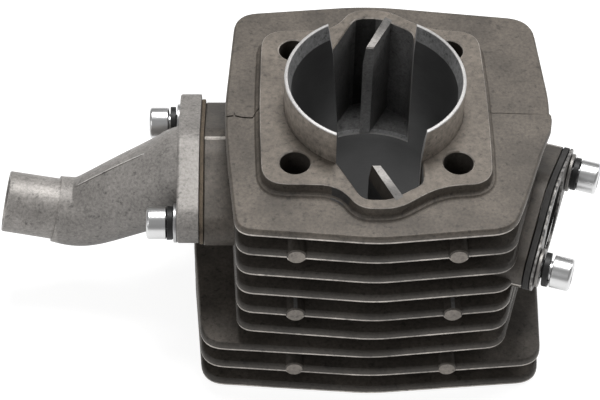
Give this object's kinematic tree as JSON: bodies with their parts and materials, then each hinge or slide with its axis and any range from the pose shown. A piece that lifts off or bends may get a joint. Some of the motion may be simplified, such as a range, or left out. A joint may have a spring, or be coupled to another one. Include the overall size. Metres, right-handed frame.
{
  "type": "two-stroke engine cylinder",
  "caption": "Air-cooled two-stroke cylinder barrel with finned casting, pressed liner, transfer passages, curved intake manifold and two-bolt exhaust port.",
  "frame": {"origin": "on the bore axis, in the plane of the crankcase gasket face", "axes": "+Z along the bore towards the crankcase, -X towards the intake side, +X towards the exhaust side, -Y towards the front, where the exhaust face is turned to"},
  "size_m": [0.1893, 0.0987, 0.0896],
  "materials": {
    "cast_body": "sand-textured die-cast aluminium, brown-grey, with machined gasket faces",
    "liner": "turned and honed, bright rim",
    "cast_manifold": "grainy light grey die-cast aluminium",
    "zinc_plated": "bright zinc plate",
    "black_steel": "black oxide spring steel",
    "paper_gasket": "brown gasket paper with dark edges",
    "graphite_gasket": "matt black graphite fibre",
    "gasket_facing": "thin crimped metal facing with a ragged edge"
  },
  "bodies": {
    "root": {"cylinder_barrel": "cast_body", "cylinder_liner": "liner", "intake_gasket": "paper_gasket", "intake_manifold": "cast_manifold", "intake_screw_front": "zinc_plated", "intake_screw_rear": "zinc_plated", "intake_lock_washer_front": "black_steel", "intake_lock_washer_rear": "black_steel", "intake_plain_washer_front": "zinc_plated", "intake_plain_washer_rear": "zinc_plated", "exhaust_gasket": "graphite_gasket", "exhaust_gasket_facing": "gasket_facing", "exhaust_screw_front": "zinc_plated", "exhaust_screw_rear": "zinc_plated", "exhaust_lock_washer_front": "black_steel", "exhaust_lock_washer_rear": "black_steel", "exhaust_plain_washer_front": "zinc_plated", "exhaust_plain_washer_rear": "zinc_plated"}
  },
  "joints": []
}
